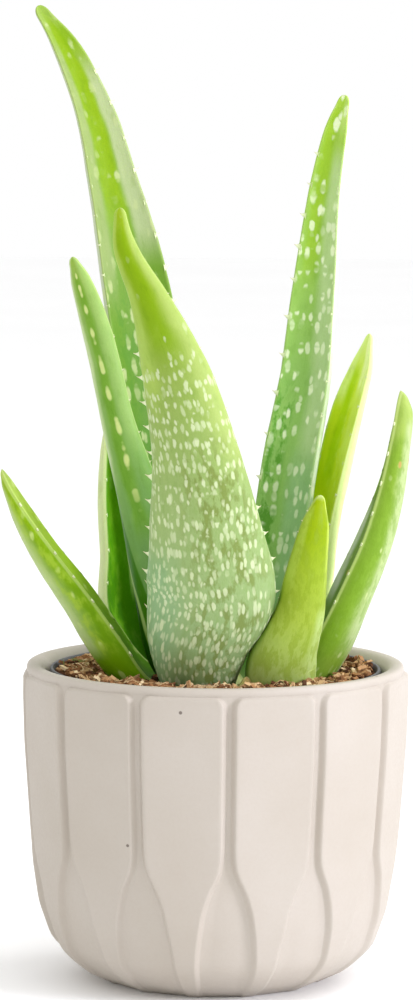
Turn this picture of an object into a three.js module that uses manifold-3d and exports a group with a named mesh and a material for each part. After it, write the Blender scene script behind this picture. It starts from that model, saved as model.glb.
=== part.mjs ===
// A young aloe in a nursery pot that stands inside a round ceramic cover pot with raised panels.
// Millimetres, +Z up. The origin is the middle of the cover pot's flat base, the front is -Y.
import * as THREE from 'three';
import { mergeVertices } from 'three/addons/utils/BufferGeometryUtils.js';
import Module from 'manifold-3d';

const wasm = await Module();
wasm.setup();

// Driving dimensions
const POT_HEIGHT = 115;
const POT_RADIUS = 70.2;        // at the panel edges, where the pot is widest
const CREST_RADIUS = 67;        // outer edge of the rim's top
const LIP_WIDTH = 3.3;          // of the rim's top, from its outer edge to its inner one
const MOUTH_RADIUS = 61.9;      // inner wall just below the rim
const FLOOR_TOP = 8;            // inside floor of the cover pot
const PANELS = 13;
const PANEL_TOP = 111.8;
const FIRST_GROOVE = 4.2;       // degrees from the front towards +X
const GROOVE_HALF_WIDTH = 0.9;  // of its narrow floor
const GROOVE_WALL = 2.4;        // across the sloping wall from that floor up to a panel
const GROOVE_DEPTH = 2.2;
const CLEARANCE = 0.35;         // between neighbouring pieces
const LEAF_CLEARANCE = 0.6;     // the same where a leaf's curved flank is cut around
const INNER_POT_TOP = 113.2;
const INNER_POT_TOP_RADIUS = 59;
const INNER_POT_FOOT_RADIUS = 44;
const INNER_POT_WALL = 1.3;
const SOIL_LEVEL = 111;
const SOIL_DISH = 6.4;          // how far it is sunk round the plant
const SOIL_HEAP = 1.6;          // how far it rises again towards the wall
const STEM_X = 5;               // the plant stands a little right of the pot's middle
const STEM_RADIUS = 12;
const STEM_FOOT = 74;
const STEM_TOP = 113;
const MARGIN_THICKNESS = 0.9;   // of a leaf's blunt edge
const TOOTH_PITCH = 9.5;        // along a leaf's edges

const COLOURS = {
  ceramic: 0xe3dcd4, darkPlastic: 0x3d4043, soil: 0x6e4d33, stem: 0x8f9a5b,
  leafDark: 0x6fae3d, leafPale: 0xa9c77f, leafYellow: 0xa4c63a,
};

// ---------------------------------------------------------------- closed meshes and solids

// A closed mesh from rings of equally many points, with both ends closed by a fan.
// The rings follow one another so that their faces point outwards.
function loft(rings) {
  const count = rings[0].length;
  const points = rings.flat();
  const faces = [];
  for (let i = 0; i + 1 < rings.length; i += 1) {
    for (let j = 0; j < count; j += 1) {
      const a = i * count + j;
      const b = i * count + (j + 1) % count;
      faces.push(a, b, b + count, a, b + count, a + count);
    }
  }
  const last = (rings.length - 1) * count;
  const centres = [rings[0], rings[rings.length - 1]].map((ring) => {
    const middle = new THREE.Vector3();
    ring.forEach((p) => middle.addScaledVector(p, 1 / count));
    return middle;
  });
  const foot = points.push(centres[0]) - 1;
  const head = points.push(centres[1]) - 1;
  for (let j = 0; j < count; j += 1) {
    const next = (j + 1) % count;
    faces.push(foot, next, j, head, last + j, last + next);
  }
  return meshed(points, faces);
}

function meshed(points, faces) {
  const geometry = new THREE.BufferGeometry();
  const places = new Float32Array(points.flatMap((p) => [p.x, p.y, p.z]));
  geometry.setAttribute('position', new THREE.BufferAttribute(places, 3));
  geometry.setIndex(faces);
  return geometry;
}

function solidOf(geometry) {
  const bare = geometry.clone();
  bare.deleteAttribute('normal');
  bare.deleteAttribute('uv');
  const merged = mergeVertices(bare, 1e-4);
  return new wasm.Manifold(new wasm.Mesh({
    numProp: 3,
    vertProperties: new Float32Array(merged.attributes.position.array),
    triVerts: new Uint32Array(merged.index.array),
  }));
}

// The largest body of a solid as a geometry: what a cut leaves loose is dropped.
function geometryOf(solid) {
  const bodies = solid.decompose();
  bodies.sort((a, b) => b.volume() - a.volume());
  const mesh = bodies[0].getMesh();
  const geometry = new THREE.BufferGeometry();
  const places = new Float32Array(mesh.vertProperties);
  geometry.setAttribute('position', new THREE.BufferAttribute(places, 3));
  geometry.setIndex([...mesh.triVerts]);
  return geometry;
}

function lathe(profile, segments) {
  const turned = new THREE.LatheGeometry(profile.map(([r, z]) => new THREE.Vector2(r, z)), segments);
  return turned.rotateX(Math.PI / 2);
}

// ---------------------------------------------------------------- cover pot

// Outer profile at the panel edges, [radius, height] from the base up to the rim.
const POT_PROFILE = [
  [40, 0], [50.6, 5.2], [59.2, 13.4], [63.9, 27], [65, 35], [66.2, 43], [66.8, 50], [67.5, 57], [69.7, 88],
  [POT_RADIUS, 106], [POT_RADIUS - 0.2, PANEL_TOP],
];

// Half the width of the floor between two panels: a narrow groove above, a flat drop below.
const RECESS_WIDTHS = [
  [0, 6.2], [5.2, 8], [13.4, 9.3], [27, 8.5], [35, 7.3], [43, 4.8], [50, 1.5],
  [57, GROOVE_HALF_WIDTH], [POT_HEIGHT, GROOVE_HALF_WIDTH],
];

function between(pairs, at) {
  const last = pairs.length - 1;
  if (at <= pairs[0][0]) return pairs[0][1];
  for (let i = 0; i < last; i += 1) {
    const [x0, y0] = pairs[i];
    const [x1, y1] = pairs[i + 1];
    if (at <= x1) return y0 + (y1 - y0) * (at - x0) / (x1 - x0);
  }
  return pairs[last][1];
}

// How deep the recess is at a height: its floor runs out flush with the rim.
function recessDepth(z) {
  return between([[0, 1], [13.4, 1.7], [27, GROOVE_DEPTH], [106, GROOVE_DEPTH], [PANEL_TOP, 1.6]], z);
}

// The smooth band and the broad top of the rim, and the plain inside wall down to the floor.
const POT_INSIDE = [
  [CREST_RADIUS + 1.4, POT_HEIGHT - 1.8], [CREST_RADIUS, POT_HEIGHT],
  [CREST_RADIUS - LIP_WIDTH, POT_HEIGHT - 0.5], [MOUTH_RADIUS, POT_HEIGHT - 3.4],
  [MOUTH_RADIUS - 0.7, 80], [59.6, 36], [53, 13], [46, FLOOR_TOP],
];

function onPot(radius, angle, z) {
  return new THREE.Vector3(radius * Math.sin(angle), -radius * Math.cos(angle), z);
}

function potGeometry() {
  const step = 2 * Math.PI / PANELS;
  const columns = [];
  for (let k = 0; k < PANELS; k += 1) {
    const corner = THREE.MathUtils.degToRad(FIRST_GROOVE) + k * step;
    // four columns a panel: the two edges of the recess's floor and the two of the flat panel
    for (let part = 0; part < 4; part += 1) {
      let angle = corner;
      const outside = POT_PROFILE.map(([edge, z]) => {
        const half = between(RECESS_WIDTHS, z) / edge;
        const lip = (between(RECESS_WIDTHS, z) + GROOVE_WALL) / edge;
        const floor = edge - recessDepth(z);
        angle = [corner - half, corner + half, corner + lip, corner + step - lip][part];
        return onPot([floor, floor, edge, edge][part], angle, z);
      });
      const inside = POT_INSIDE.map(([radius, z]) => onPot(radius, angle, z));
      columns.push([...outside, ...inside]);
    }
  }
  // the first ring is the base's edge and the last lies on the inside floor
  const rings = columns[0].map((_, row) => columns.map((column) => column[row]));
  return loft(rings);
}

// ---------------------------------------------------------------- nursery pot and soil

function nurseryPotGeometry() {
  const foot = FLOOR_TOP + CLEARANCE;
  const top = INNER_POT_TOP;
  const r1 = INNER_POT_TOP_RADIUS;
  const r0 = INNER_POT_FOOT_RADIUS;
  const w = INNER_POT_WALL;
  const cup = lathe([
    [0, foot], [r0 - 1.5, foot], [r0, foot + 1.5], [r1 - 0.4, top - 7], [r1 + 0.8, top - 6.6],
    [r1 + 1, top - 0.6], [r1 + 0.5, top], [r1 - w + 0.3, top], [r1 - w, top - 0.8],
    [r0 - w, foot + 2.2], [r0 - w - 1, foot + w + 0.2], [0, foot + w + 0.2],
  ], 48);
  let solid = solidOf(cup);
  const holes = 6;
  for (let i = 0; i < holes; i += 1) {
    const hole = new THREE.CylinderGeometry(4, 4, 12, 8).rotateX(Math.PI / 2);
    const angle = 2 * Math.PI * i / holes;
    hole.translate(30 * Math.cos(angle), 30 * Math.sin(angle), foot);
    solid = solid.subtract(solidOf(hole));
  }
  return geometryOf(solid);
}

// Height of the soil: rough on top, dished where the leaves come out of it, heaped near the wall.
function soilHeight(x, y) {
  const fromStem = Math.hypot(x - STEM_X, y);
  const dish = SOIL_DISH * Math.exp(-((fromStem / 24) ** 4));
  const rough = 0.7 * Math.sin(0.61 * x + 1.3 * Math.sin(0.43 * y)) + 0.6 * Math.sin(0.83 * y + 0.57 * x);
  const heap = SOIL_HEAP * THREE.MathUtils.smoothstep(Math.hypot(x, y), 42, 55);
  return SOIL_LEVEL - dish + rough + heap;
}

function soilGeometry() {
  const segments = 36;
  const wall = (z) => {
    const up = (z - FLOOR_TOP) / (INNER_POT_TOP - 7 - FLOOR_TOP);
    const outside = INNER_POT_FOOT_RADIUS + up * (INNER_POT_TOP_RADIUS - 0.4 - INNER_POT_FOOT_RADIUS);
    return outside - INNER_POT_WALL - 0.8;
  };
  const hole = STEM_RADIUS + CLEARANCE;
  const foot = FLOOR_TOP + CLEARANCE + INNER_POT_WALL + 0.6;
  const holeFoot = STEM_FOOT - CLEARANCE;
  const columns = [];
  for (let j = 0; j < segments; j += 1) {
    const angle = 2 * Math.PI * j / segments;
    const out = [Math.sin(angle), -Math.cos(angle)];
    const at = (radius, z) => new THREE.Vector3(radius * out[0], radius * out[1], z);
    const column = [at(wall(foot + 2) - 2, foot), at(wall(60), 60)];
    // from the wall in to the hole, whose middle is the stem's
    const rings = 7;
    for (let i = 0; i <= rings; i += 1) {
      const share = i / rings;
      const edge = wall(SOIL_LEVEL - 3) * (1 - share) + hole * share;
      const x = edge * out[0] + STEM_X * share;
      const y = edge * out[1];
      column.push(new THREE.Vector3(x, y, soilHeight(x, y)));
    }
    column.push(new THREE.Vector3(hole * out[0] + STEM_X, hole * out[1], holeFoot));
    columns.push(column);
  }
  const rings = columns[0].map((_, row) => columns.map((column) => column[row]));
  return loft(rings);
}

// ---------------------------------------------------------------- the plant

// The short stem is round, with a dome of growth on top and a blunt end below.
function stemGeometry(grow = 0) {
  const r = STEM_RADIUS + grow;
  return lathe([
    [0, STEM_FOOT - grow], [r - 4, STEM_FOOT - grow], [r, STEM_FOOT + 6], [r, STEM_TOP - 8],
    [r - 1.5, STEM_TOP - 4.5], [r - 5, STEM_TOP - 1.5], [3 + grow, STEM_TOP - 0.4 + grow], [0, STEM_TOP + grow],
  ], 20).translate(STEM_X, 0, 0);
}

// Each leaf is a row of stations from its root to its tip:
// [x, y, z, half width, thickness, curl, facing].
// x, y, z is the middle of the line between the two edges. Curl is half the angle that the
// channelled upper face turns through, and facing is where that face looks, both in degrees:
// 0 is the front, 90 is +X. The order is from the innermost leaf to the outermost.
const LEAVES = {
  leaf_tall_left: {
    colour: 'leafPale',
    stations: [
      [-1, 6, 106, 6, 5, 50, 25], [-6, 13, 120, 11, 7, 48, 25], [-14, 22, 160, 12.6, 7, 42, 24],
      [-21.2, 27, 205, 13.6, 6.4, 38, 22], [-30.4, 31, 254, 12.3, 5.6, 34, 20],
      [-37.6, 35, 285, 9.4, 4.6, 30, 20], [-45.6, 39, 314, 7.2, 3.6, 26, 20],
      [-56.1, 42, 337, 4.9, 2.8, 26, 20], [-66.8, 44, 352, 2.2, 1.6, 18, 20],
    ],
  },
  leaf_tall_right: {
    colour: 'leafPale',
    stations: [
      [9, 5, 105, 6, 5, 50, -20], [16.5, 10, 116, 8.6, 6.5, 46, -20], [21, 17, 148, 9.6, 6.4, 40, -20],
      [26, 24, 184, 9.8, 6, 34, -20], [31.7, 30, 216, 9.2, 5.4, 30, -20],
      [35.3, 34, 252, 7.7, 4.6, 28, -20], [38.7, 37, 284, 5.7, 3.6, 26, -20],
      [42.8, 38.5, 307, 4.2, 2.6, 24, -20], [46.2, 39, 320, 1.8, 1.4, 14, -20],
    ],
  },
  leaf_front: {
    colour: 'leafPale',
    stations: [
      [3, -7, 102, 6, 5, 50, 172], [-4.4, -17, 110, 10.4, 8, 50, 170], [-5.4, -26, 127, 16.6, 9.5, 46, 168],
      [-1.2, -32, 147, 22, 9.5, 40, 166], [-3.2, -37, 168, 19.4, 8.6, 36, 166],
      [-7.1, -42, 196, 15, 7.4, 34, 166], [-14.3, -46, 225, 11.5, 6, 32, 166],
      [-23.7, -48, 250, 6.4, 4.6, 30, 166], [-32.2, -48, 268, 3.6, 3, 26, 166],
      [-34.3, -47, 280.8, 1.8, 1.5, 14, 166],
    ],
  },
  leaf_keeled_left: {
    colour: 'leafPale',
    stations: [
      [-2, -3, 106, 6, 4.5, 48, 155], [-11.5, -8, 118, 10.4, 6.4, 48, 155], [-18, -11, 144, 10, 6.6, 44, 155],
      [-25, -12, 172, 7.9, 6, 42, 155], [-34.4, -12, 204, 5.5, 5, 40, 155],
      [-41.7, -12, 234, 4.9, 4.2, 36, 155], [-48.4, -11, 254, 3.5, 3, 30, 155],
      [-52, -10, 262, 1.5, 1.4, 14, 155],
    ],
  },
  leaf_back_left: {
    colour: 'leafDark',
    stations: [
      [-3, 5, 103, 6, 5, 48, 65], [-20, 10, 112, 10, 4.6, 50, 60], [-32.6, 14, 130, 10, 4, 50, 59],
      [-35.2, 18, 152, 7.6, 3.6, 48, 62], [-37.8, 21, 172, 5.6, 3.2, 46, 68],
      [-38.9, 23, 190, 2.8, 2.8, 40, 70], [-39.4, 25, 204, 0.9, 1, 10, 70],
    ],
  },
  leaf_right: {
    colour: 'leafYellow',
    stations: [
      [12, 9, 103, 5.5, 5, 46, -58], [25.6, 15, 112, 8.6, 6, 46, -58], [32.4, 19.5, 136, 8.8, 5.6, 44, -58],
      [36.1, 22, 160, 8.4, 5, 40, -58], [41.3, 24.5, 183.5, 7.8, 4.6, 36, -56],
      [46.8, 26, 205.5, 7.6, 3.8, 34, -54], [52.3, 27, 221.5, 5, 2.8, 28, -52],
      [55.6, 27.5, 233, 1.4, 1.2, 12, -52],
    ],
  },
  leaf_low_left: {
    colour: 'leafYellow',
    stations: [
      [-6, -4, 105, 6, 5, 44, 88], [-23.1, -8, 112.5, 9.8, 8, 42, 89], [-34, -12, 127, 10.5, 9.4, 38, 91],
      [-44.2, -16, 142, 10, 8.8, 34, 90], [-56.4, -21, 158, 8.2, 7.5, 32, 90],
      [-67, -26, 173.3, 5.7, 5.2, 28, 85], [-73.1, -29, 183, 3.2, 2.9, 22, 80],
      [-75.9, -30, 187.6, 1, 1.2, 12, 78],
    ],
  },
  leaf_far_right: {
    colour: 'leafYellow',
    stations: [
      [13, -2, 103, 6, 5, 45, -86], [26.6, -3, 109, 9.6, 7.5, 44, -86], [35.2, -3, 125, 10.9, 10.4, 40, -88],
      [43.3, -2, 142.7, 10.3, 10.6, 36, -85], [51.9, -1, 161.6, 8.8, 9.8, 32, -85],
      [58.5, -1, 180.3, 7.1, 7.9, 30, -90], [62.6, -2, 198, 6.2, 6.2, 28, -92],
      [64.6, -2, 208, 4.6, 5, 24, -96], [65.9, -2, 214.3, 1.6, 2.2, 14, -100],
    ],
  },
  leaf_short_right: {
    colour: 'leafYellow',
    stations: [
      [13, -8, 100, 6, 5, 46, -145], [22.5, -19, 107, 9.6, 7, 48, -150],
      [22.3, -25, 120, 12.2, 7.6, 44, -154], [28.5, -30, 138, 8.3, 6.8, 38, -156],
      [31.5, -34, 155, 6.4, 5.6, 34, -158], [34.4, -36, 170, 4.4, 3.8, 28, -160],
      [36.6, -36.5, 179.8, 1.3, 1.3, 12, -160],
    ],
  },
  torn_leaf_base: {
    colour: 'leafPale',
    stations: [
      [8, -16, 98, 3, 3, 40, -165], [9.4, -26, 101, 5.4, 3, 36, -165],
      [10.4, -31.5, 107, 4.8, 2.4, 30, -165], [11, -33.5, 114.6, 0.9, 1.2, 10, -165],
    ],
  },
};

// Smooth places along a leaf: the stations' values run through by a curve in equal steps.
function stationsAlong(stations, count) {
  const middle = new THREE.CatmullRomCurve3(stations.map(([x, y, z]) => new THREE.Vector3(x, y, z)),
    false, 'centripetal');
  const last = stations.length - 1;
  const values = [];
  for (let i = 0; i <= count; i += 1) {
    const at = last * i / count;
    const k = Math.min(Math.floor(at), last - 1);
    const share = at - k;
    const smooth = (column) => {
      const take = (n) => stations[Math.min(Math.max(n, 0), last)][column];
      const [a, b, c, d] = [take(k - 1), take(k), take(k + 1), take(k + 2)];
      const rise = 0.5 * (c - a) * share + (a - 2.5 * b + 2 * c - 0.5 * d) * share ** 2;
      return b + rise + (1.5 * (b - c) + 0.5 * (d - a)) * share ** 3;
    };
    values.push({
      place: middle.getPoint(i / count),
      along: middle.getTangent(i / count),
      half: Math.max(smooth(3), 0.5),
      thick: smooth(4),
      curl: THREE.MathUtils.degToRad(Math.max(smooth(5), 5)),
      facing: THREE.MathUtils.degToRad(smooth(6)),
    });
  }
  return values;
}

// The upright frame of a station: up is the way the upper face looks, side is along its width.
function frameOf({ along, facing }) {
  const look = new THREE.Vector3(Math.sin(facing), -Math.cos(facing), 0.5);
  const up = look.addScaledVector(along, -look.dot(along)).normalize();
  const side = new THREE.Vector3().crossVectors(along, up).normalize();
  return { up, side };
}

// A point of a leaf's section: across runs from -1 to 1, below is how far under the upper face.
function onLeaf(station, across, below, grow = 0) {
  const { up, side } = frameOf(station);
  const half = station.half + grow;
  const radius = half / Math.sin(station.curl);
  const turn = station.curl * across;
  const outward = radius + below;
  const rise = radius * Math.cos(station.curl) - outward * Math.cos(turn);
  return station.place.clone()
    .addScaledVector(side, outward * Math.sin(turn))
    .addScaledVector(up, rise);
}

const UPPER = [-1, -0.55, 0, 0.55, 1];
const LOWER = [1, 0.88, 0.55, 0, -0.55, -0.88, -1];

function leafSection(station, grow) {
  const body = (across) => {
    const round = Math.sqrt(Math.max(1 - across ** 2, 0));
    return MARGIN_THICKNESS + (station.thick - MARGIN_THICKNESS) * round;
  };
  const upper = UPPER.map((across) => onLeaf(station, across, -grow, grow));
  const lower = LOWER.map((across) => onLeaf(station, across, body(across) + grow, grow));
  return [...upper, ...lower];
}

// A pointed tooth on an edge: a three-sided spike that stands out sideways and leans towards the
// leaf's tip.
function toothGeometry(station, edge, length, grow) {
  const root = onLeaf(station, edge * 0.94, MARGIN_THICKNESS / 2);
  const { up, side } = frameOf(station);
  const out = onLeaf(station, edge, 0).sub(onLeaf(station, edge * 0.8, 0)).normalize();
  out.addScaledVector(side, edge).normalize();
  const wide = 1.3 + grow;
  const deep = 0.55 + grow;
  const back = root.clone().addScaledVector(out, -0.9);
  const tip = root.clone().addScaledVector(out, length + grow).addScaledVector(station.along, 0.7);
  const corners = [
    back.clone().addScaledVector(station.along, -wide).addScaledVector(up, -deep),
    back.clone().addScaledVector(station.along, wide).addScaledVector(up, -deep),
    back.clone().addScaledVector(up, deep),
    tip,
  ];
  const centre = corners.reduce((sum, p) => sum.addScaledVector(p, 0.25), new THREE.Vector3());
  const faces = [[0, 1, 2], [0, 1, 3], [1, 2, 3], [2, 0, 3]].flatMap(([a, b, c]) => {
    const normal = corners[b].clone().sub(corners[a]).cross(corners[c].clone().sub(corners[a]));
    const outwards = normal.dot(corners[a].clone().sub(centre)) > 0;
    return outwards ? [a, b, c] : [a, c, b];
  });
  return meshed(corners, faces);
}

// A whole leaf: its fleshy blade with the teeth along both edges.
function leafSolid({ stations }, grow = 0) {
  const steps = 2 * stations.length + 2;
  const places = stationsAlong(stations, steps);
  places[0].place.addScaledVector(places[0].along, -grow);
  places[steps].place.addScaledVector(places[steps].along, grow);
  let solid = solidOf(loft(places.map((station) => leafSection(station, grow))));
  const fine = stationsAlong(stations, 400);
  let since = TOOTH_PITCH / 2;
  for (let i = 1; i < fine.length; i += 1) {
    since += fine[i].place.distanceTo(fine[i - 1].place);
    const share = i / fine.length;
    if (since >= TOOTH_PITCH && fine[i].half > 2.5 && share > 0.2) {
      since = 0;
      const length = 1.1 + 0.05 * fine[i].half;
      solid = solid.add(solidOf(toothGeometry(fine[i], 1, length, grow)));
      solid = solid.add(solidOf(toothGeometry(fine[i], -1, length, grow)));
    }
  }
  return solid;
}

// ---------------------------------------------------------------- assembly

const group = new THREE.Group();

function addPiece(name, geometry, color, roughness) {
  const material = new THREE.MeshStandardMaterial({ color, roughness, metalness: 0 });
  const mesh = new THREE.Mesh(geometry, material);
  mesh.name = name;
  group.add(mesh);
}

addPiece('cover_pot', potGeometry(), COLOURS.ceramic, 0.6);
addPiece('nursery_pot', nurseryPotGeometry(), COLOURS.darkPlastic, 0.5);
addPiece('stem', stemGeometry(), COLOURS.stem, 0.7);

// Each leaf is cut clear of the stem and of the leaves inside it, which it clasps.
// The soil then gets the hole that each of them stands in.
const kept = [solidOf(stemGeometry(CLEARANCE))];
Object.entries(LEAVES).forEach(([name, leaf]) => {
  const cut = kept.reduce((solid, inner) => solid.subtract(inner), leafSolid(leaf));
  kept.push(leafSolid(leaf, LEAF_CLEARANCE));
  addPiece(name, geometryOf(cut), COLOURS[leaf.colour], 0.45);
});

const holed = kept.reduce((solid, root) => solid.subtract(root), solidOf(soilGeometry()));
addPiece('soil', geometryOf(holed), COLOURS.soil, 0.95);

export default group;
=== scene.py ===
import random
from math import cos, exp, hypot, pi, radians, sin, sqrt

import bpy
from mathutils import Matrix, Vector, noise
from mathutils.bvhtree import BVHTree


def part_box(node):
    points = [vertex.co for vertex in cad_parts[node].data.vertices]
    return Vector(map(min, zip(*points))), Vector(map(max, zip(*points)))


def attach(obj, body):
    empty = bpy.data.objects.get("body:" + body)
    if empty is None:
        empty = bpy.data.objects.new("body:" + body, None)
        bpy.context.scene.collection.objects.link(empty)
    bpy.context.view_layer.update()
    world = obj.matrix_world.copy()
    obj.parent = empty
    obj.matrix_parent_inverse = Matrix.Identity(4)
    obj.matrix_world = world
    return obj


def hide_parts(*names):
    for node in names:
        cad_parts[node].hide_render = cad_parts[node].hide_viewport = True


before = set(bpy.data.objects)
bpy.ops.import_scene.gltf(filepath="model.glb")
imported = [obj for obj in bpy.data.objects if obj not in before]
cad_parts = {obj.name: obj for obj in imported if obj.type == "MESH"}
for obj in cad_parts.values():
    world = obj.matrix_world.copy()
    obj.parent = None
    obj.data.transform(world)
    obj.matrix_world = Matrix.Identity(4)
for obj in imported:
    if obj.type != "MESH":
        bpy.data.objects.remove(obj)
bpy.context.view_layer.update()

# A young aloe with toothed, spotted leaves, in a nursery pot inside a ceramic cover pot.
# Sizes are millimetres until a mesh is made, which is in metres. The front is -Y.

MM = 0.001

# -------- driving dimensions

POT_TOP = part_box("cover_pot")[1][2] / MM
NURSERY_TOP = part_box("nursery_pot")[1][2] / MM
NURSERY_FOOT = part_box("nursery_pot")[0][2] / MM
STEM_FOOT, STEM_TOP = (corner[2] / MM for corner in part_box("stem"))
STEM_X = (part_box("stem")[0][0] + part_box("stem")[1][0]) / 2 / MM

PANELS = 13
FIRST_GROOVE = radians(4.2)
PANEL_TOP = 112.2
PANEL_CORNER = 4  # rounding of a panel's top corners
PANEL_CROWN = 0.25  # 0 for a flat panel, 1 for one as round as the pot's outline
GROOVE_HALF_WIDTH = 0.7  # of its narrow floor
GROOVE_WALL = 2.1  # width of the rounded wall from the floor up to the panel
FLOOR_TOP = 8
SOIL_LEVEL = 111
SOIL_DISH = 6.4  # depth of the dip round the stem
SOIL_HEAP = 1.6  # rise towards the wall
MARGIN_THICKNESS = 0.9  # of a leaf at its edges

CAMERA_PLACE = Vector((0, -1500, 326.7))
CAMERA_PITCH, CAMERA_YAW, CAMERA_ROLL = -5.81, -0.138, 0.368
FOCAL_PIXELS = 4170
PHOTO_HEIGHT = 1000


def srgb(red, green, blue):
    """A colour from its values on a screen, 0 to 255."""

    def linear(value):
        value /= 255
        return value / 12.92 if value <= 0.04045 else ((value + 0.055) / 1.055) ** 2.4

    return (linear(red), linear(green), linear(blue), 1)


def smooth(low, high, value):
    share = min(max((value - low) / (high - low), 0), 1)
    return share * share * (3 - 2 * share)


def between(pairs, at):
    """The value at a place in a list of (place, value), on straight lines."""
    if at <= pairs[0][0]:
        return pairs[0][1]
    for (x0, y0), (x1, y1) in zip(pairs, pairs[1:]):
        if at <= x1:
            return y0 + (y1 - y0) * (at - x0) / (x1 - x0)
    return pairs[-1][1]


# -------- shader building


class Shade:
    """One material's nodes. Each method adds a node and returns its output socket."""

    def __init__(self, name, **fixed):
        self.material = bpy.data.materials.new(name)
        self.material.use_nodes = True
        self.nodes = self.material.node_tree.nodes
        self.links = self.material.node_tree.links
        self.shader = self.nodes["Principled BSDF"]
        for socket, value in fixed.items():
            self.shader.inputs[socket.replace("_", " ")].default_value = value

    def add(self, kind, inputs=(), **settings):
        node = self.nodes.new("ShaderNode" + kind)
        for name, value in settings.items():
            setattr(node, name, value)
        for key, value in dict(inputs).items():
            if isinstance(value, bpy.types.NodeSocket):
                self.links.new(value, node.inputs[key])
            else:
                node.inputs[key].default_value = value
        return node

    def attribute(self, name, output="Fac"):
        return self.add("Attribute", attribute_name=name).outputs[output]

    def place(self):
        return self.add("TexCoord").outputs["Object"]

    def math(self, operation, a, b=0):
        return self.add("Math", {0: a, 1: b}, operation=operation).outputs[0]

    def times(self, value, *factors):
        for factor in factors:
            value = self.math("MULTIPLY", value, factor)
        return value

    def plus(self, a, b):
        return self.math("ADD", a, b)

    def minus(self, a, b):
        return self.math("SUBTRACT", a, b)

    def step(self, value, low, high, start=0, end=1):
        """A smooth step from start to end as the value goes from low to high."""
        inputs = {0: value, 1: low, 2: high, 3: start, 4: end}
        return self.add("MapRange", inputs, interpolation_type="SMOOTHSTEP").outputs[0]

    def mix(self, factor, a, b, blend="MIX"):
        inputs = {0: factor, 6: a, 7: b}
        return self.add("Mix", inputs, data_type="RGBA", blend_type=blend).outputs[2]

    def ramp(self, factor, stops):
        """A colour ramp through (place, colour as its values on a screen)."""
        node = self.add("ValToRGB", {0: factor})
        elements = node.color_ramp.elements
        while len(elements) < len(stops):
            elements.new(0.5)
        for element, (place, colour) in zip(elements, stops):
            element.position = place
            element.color = srgb(*colour)
        return node.outputs[0]

    def stretched(self, vector, scale):
        return self.add("Mapping", {"Vector": vector, "Scale": scale}).outputs[0]

    def noise(self, vector, scale, detail=3, roughness=0.5):
        """Noise of one scale, or of a scale for each axis."""
        if isinstance(scale, tuple):
            vector, scale = self.stretched(vector, scale), 1
        inputs = {"Vector": vector, "Scale": scale, "Detail": detail, "Roughness": roughness}
        return self.add("TexNoise", inputs).outputs[0]

    def cells(self, vector, scale, randomness=1, dimensions="2D"):
        """Voronoi cells: the distance to the middle of each, and its own random colour."""
        inputs = {"Vector": self.stretched(vector, scale), "Scale": 1, "Randomness": randomness}
        node = self.add("TexVoronoi", inputs, voronoi_dimensions=dimensions)
        return node.outputs["Distance"], node.outputs["Color"]

    def channels(self, colour):
        return self.add("SeparateColor", {0: colour}).outputs

    def bump(self, height, distance, strength):
        return self.add("Bump", {"Height": height, "Distance": distance, "Strength": strength}).outputs[0]

    def finish(self, colour, roughness=None, normal=None):
        self.links.new(colour, self.shader.inputs["Base Color"])
        if roughness is not None:
            self.links.new(roughness, self.shader.inputs["Roughness"])
        if normal is not None:
            self.links.new(normal, self.shader.inputs["Normal"])
        return self.material


# -------- mesh building


def make_piece(name, points, faces, materials, slots=None, smooth_shading=True, attributes=()):
    """A mesh object from points in millimetres, riding on the pot."""
    mesh = bpy.data.meshes.new(name)
    mesh.from_pydata([Vector(p) * MM for p in points], [], faces)
    for material in materials:
        mesh.materials.append(material)
    if slots:
        mesh.polygons.foreach_set("material_index", slots)
    mesh.polygons.foreach_set("use_smooth", [smooth_shading] * len(faces))
    for label, (kind, values) in dict(attributes).items():
        layer = mesh.attributes.new(label, kind, "POINT")
        layer.data.foreach_set("vector" if kind == "FLOAT_VECTOR" else "value", values)
    mesh.validate()
    piece = bpy.data.objects.new(name, mesh)
    bpy.context.collection.objects.link(piece)
    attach(piece, "root")
    return piece


def around(radius, angle):
    """x and y at a radius, at an angle from the front."""
    return radius * sin(angle), -radius * cos(angle)


def ring_faces(rings, count):
    """Quads between rings of equally many points, one after another."""
    faces = []
    for i in range(rings - 1):
        for j in range(count):
            a, b = i * count + j, i * count + (j + 1) % count
            faces.append((a, b, b + count, a + count))
    return faces


def capped_faces(rings, count):
    """The same, with a face over the first ring and one over the last."""
    first, last = range(count), range((rings - 1) * count, rings * count)
    return [*ring_faces(rings, count), tuple(reversed(first)), tuple(last)]


def lathe(profile, segments):
    """Points and faces of a closed profile of (radius, height), turned about Z."""
    turns = [2 * pi * j / segments for j in range(segments)]
    points = [(*around(radius, turn), z) for radius, z in profile for turn in turns]
    return points, capped_faces(len(profile), segments)


def rounded(profile, steps, reach):
    """A profile with a curve for each corner, which starts a share of the way to the next one."""
    smoothed = [profile[0]]
    for before, corner, after in zip(profile, profile[1:], profile[2:]):
        before, corner, after = Vector(before), Vector(corner), Vector(after)
        start = corner.lerp(before, reach)
        end = corner.lerp(after, reach)
        for k in range(steps + 1):
            t = k / steps
            smoothed.append(tuple(start.lerp(corner, t).lerp(corner.lerp(end, t), t)))
    return [*smoothed, profile[-1]]


# -------- cover pot

# (height, radius) of the outside at the panel edges.
POT_RADII = [
    (0, 40), (5.2, 50.6), (13.4, 59.2), (27, 63.9), (43, 66.2), (57, 67.5), (88, 69.7), (106, 70.2),
    (PANEL_TOP, 70.0),
]
# (height, half width) of the floor between two panels: a narrow groove above, a drop below.
RECESS_WIDTHS = [
    (0, 6.2), (5.2, 8), (13.4, 9.2), (20, 9.1), (27, 8.5), (35, 7.3), (43, 4.8), (47, 2.6),
    (51, 1.1), (57, GROOVE_HALF_WIDTH), (POT_TOP, GROOVE_HALF_WIDTH),
]
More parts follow.
